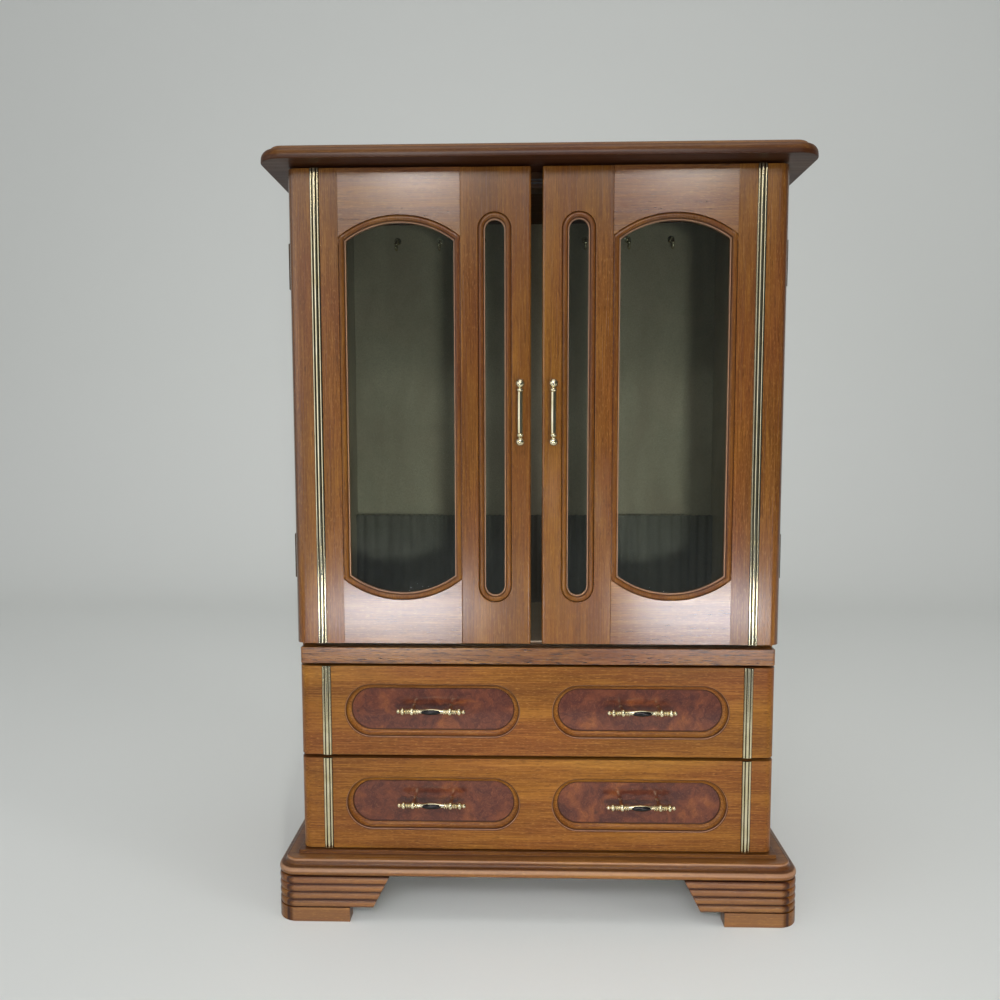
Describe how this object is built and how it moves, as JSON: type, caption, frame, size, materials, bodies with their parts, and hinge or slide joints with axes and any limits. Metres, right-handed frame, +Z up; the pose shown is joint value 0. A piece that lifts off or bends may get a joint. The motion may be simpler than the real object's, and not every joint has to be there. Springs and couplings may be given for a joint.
{
  "type": "tabletop jewellery armoire",
  "caption": "Moulded hardwood jewellery cabinet on bracket feet, with glazed doors over a lined necklace compartment and burl-panelled drawers below.",
  "frame": {"origin": "on the ground plane under the middle of the overall box of the closed case", "axes": "+Z up, -Y out of the front with the doors and drawers, +X to the right of someone facing the front"},
  "size_m": [0.3466, 0.172, 0.4985],
  "materials": {
    "stained_hardwood": "satin lacquer",
    "bare_wood": "unfinished",
    "burl_veneer": "gloss lacquer",
    "brass": "polished",
    "antique_bronze": "darkened",
    "steel": "plain",
    "clear_glass": "clear",
    "lining_cloth": "velvet",
    "catch_plastic": "matte",
    "black_enamel": "gloss"
  },
  "bodies": {
    "case": {"top_slab": "stained_hardwood", "left_side_panel": "stained_hardwood", "right_side_panel": "stained_hardwood", "mid_rail": "stained_hardwood", "base_board": "stained_hardwood", "front_left_foot": "stained_hardwood", "front_right_foot": "stained_hardwood", "back_left_foot": "stained_hardwood", "back_right_foot": "stained_hardwood", "back_panel": "bare_wood", "compartment_floor": "bare_wood", "dust_board": "bare_wood", "back_lining": "lining_cloth", "compartment_linings": "lining_cloth", "necklace_pouch": "lining_cloth", "necklace_hooks": "brass", "case_hinge_leaves": "antique_bronze", "hinge_pins": "antique_bronze", "case_hinge_screws": "antique_bronze", "magnetic_catch": "catch_plastic"},
    "left_door": {"left_door_outer_stile": "stained_hardwood", "left_door_inner_stile": "stained_hardwood", "left_door_top_rail": "stained_hardwood", "left_door_bottom_rail": "stained_hardwood", "left_door_mouldings": "stained_hardwood", "left_door_glass": "clear_glass", "left_door_glass_beads": "bare_wood", "left_door_brass_strip": "brass", "left_door_handle": "brass", "left_door_hinge_leaves": "antique_bronze", "left_door_hinge_screws": "antique_bronze", "left_door_strike_plate": "steel"},
    "right_door": {"right_door_outer_stile": "stained_hardwood", "right_door_inner_stile": "stained_hardwood", "right_door_top_rail": "stained_hardwood", "right_door_bottom_rail": "stained_hardwood", "right_door_mouldings": "stained_hardwood", "right_door_glass": "clear_glass", "right_door_glass_beads": "bare_wood", "right_door_brass_strip": "brass", "right_door_handle": "brass", "right_door_hinge_leaves": "antique_bronze", "right_door_hinge_screws": "antique_bronze", "right_door_strike_plate": "steel"},
    "upper_drawer": {"upper_drawer_front": "stained_hardwood", "upper_drawer_box": "bare_wood", "upper_drawer_bottom": "bare_wood", "upper_drawer_lining": "lining_cloth", "upper_drawer_plaques": "burl_veneer", "upper_drawer_brass_strips": "brass", "upper_drawer_pulls": "brass", "upper_drawer_pull_inlays": "black_enamel"},
    "lower_drawer": {"lower_drawer_front": "stained_hardwood", "lower_drawer_box": "bare_wood", "lower_drawer_bottom": "bare_wood", "lower_drawer_lining": "lining_cloth", "lower_drawer_plaques": "burl_veneer", "lower_drawer_brass_strips": "brass", "lower_drawer_pulls": "brass", "lower_drawer_pull_inlays": "black_enamel"}
  },
  "joints": [
    {"name": "left_door_hinge", "type": "hinge", "parent": "case", "child": "left_door", "pos_m": [-0.1599, -0.0557, 0.33485], "axis": [0, 0, -1], "range_deg": [0, 170]},
    {"name": "right_door_hinge", "type": "hinge", "parent": "case", "child": "right_door", "pos_m": [0.1599, -0.0557, 0.33485], "axis": [0, 0, 1], "range_deg": [0, 170]},
    {"name": "upper_drawer_slide", "type": "slide", "parent": "case", "child": "upper_drawer", "axis": [0, -1, 0], "range_m": [0, 0.105]},
    {"name": "lower_drawer_slide", "type": "slide", "parent": "case", "child": "lower_drawer", "axis": [0, -1, 0], "range_m": [0, 0.105]}
  ]
}
